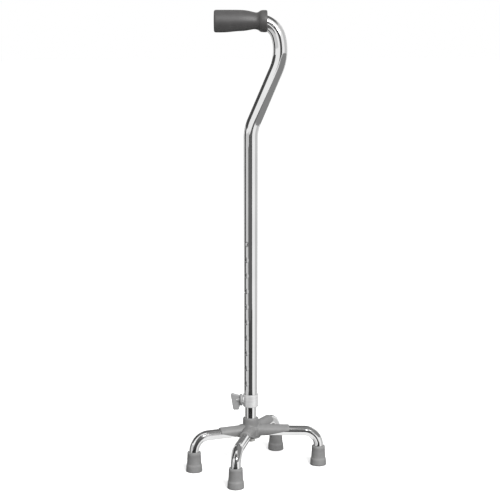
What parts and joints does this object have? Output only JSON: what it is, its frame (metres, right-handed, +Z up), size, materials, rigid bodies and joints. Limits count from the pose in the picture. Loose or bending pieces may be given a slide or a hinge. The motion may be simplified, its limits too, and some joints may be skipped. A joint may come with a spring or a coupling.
{
  "type": "quad walking cane",
  "caption": "Walking cane with an offset handle, telescoping push-button tubes, a screw-locked collar and a low base on spread legs with rubber tips.",
  "frame": {"origin": "on the floor, at the centre of the rectangle of the feet's centres, which is also the middle of the overall box to within a few millimetres", "axes": "+Z up along the tubes, +X along the long side of the base, +Y across the base towards the side on which the tubes stand"},
  "size_m": [0.2024, 0.1355, 0.7334],
  "materials": {
    "chrome_tube": "polished chrome plate",
    "cast_hub": "satin grey coated casting",
    "zinc_steel": "zinc-plated",
    "spring_steel": "nickel-plated spring steel",
    "bright_collar": "bright satin",
    "nylon": "natural nylon",
    "knob_plastic": "moulded grey plastic",
    "tip_rubber": "grey moulded rubber",
    "grip_vinyl": "soft matte moulded vinyl"
  },
  "bodies": {
    "base": {"hub_casting": "cast_hub", "hub_base_plate": "cast_hub", "plate_screws": "zinc_steel", "socket_bolt": "zinc_steel", "socket_washer": "zinc_steel", "tube_insert": "zinc_steel", "lower_tube": "chrome_tube", "leg_back_left": "chrome_tube", "leg_front_left": "chrome_tube", "leg_front_right": "chrome_tube", "leg_back_right": "chrome_tube", "foot_tip_back_left": "tip_rubber", "foot_tip_front_left": "tip_rubber", "foot_tip_front_right": "tip_rubber", "foot_tip_back_right": "tip_rubber", "tip_washers": "zinc_steel"},
    "button": {"snap_button": "spring_steel"},
    "collar": {"locking_collar": "bright_collar"},
    "pad": {"clamp_pad": "nylon"},
    "clamp_screw": {"clamp_stud": "zinc_steel", "wing_knob": "knob_plastic"},
    "handle": {"upper_tube": "chrome_tube", "grip": "grip_vinyl"}
  },
  "joints": [
    {"name": "height_slide", "type": "slide", "parent": "base", "child": "collar", "axis": [0, 0, 1], "range_m": [0, 0.2286]},
    {"name": "handle_turn", "type": "hinge", "parent": "collar", "child": "handle", "pos_m": [0.0045, 0.0205, 0.4], "axis": [0, 0, 1], "range_deg": [0, 180]},
    {"name": "button_press", "type": "slide", "parent": "base", "child": "button", "axis": [0.9781, 0.2079, 0], "range_m": [0, 0.0031], "stiffness_N_per_m": 900, "deforming": ["snap_button"]},
    {"name": "pad_slide", "type": "slide", "parent": "collar", "child": "pad", "axis": [-0.809, 0.5878, 0], "range_m": [0, 0.0025]},
    {"name": "wing_turn", "type": "hinge", "parent": "pad", "child": "clamp_screw", "pos_m": [-0.01168, 0.03226, 0.109], "axis": [-0.809, 0.5878, 0], "range_deg": [0, 720]}
  ],
  "couplings": [
    {"joint": "pad_slide", "follows": "wing_turn", "m_per_rad": 0.00019894}
  ]
}
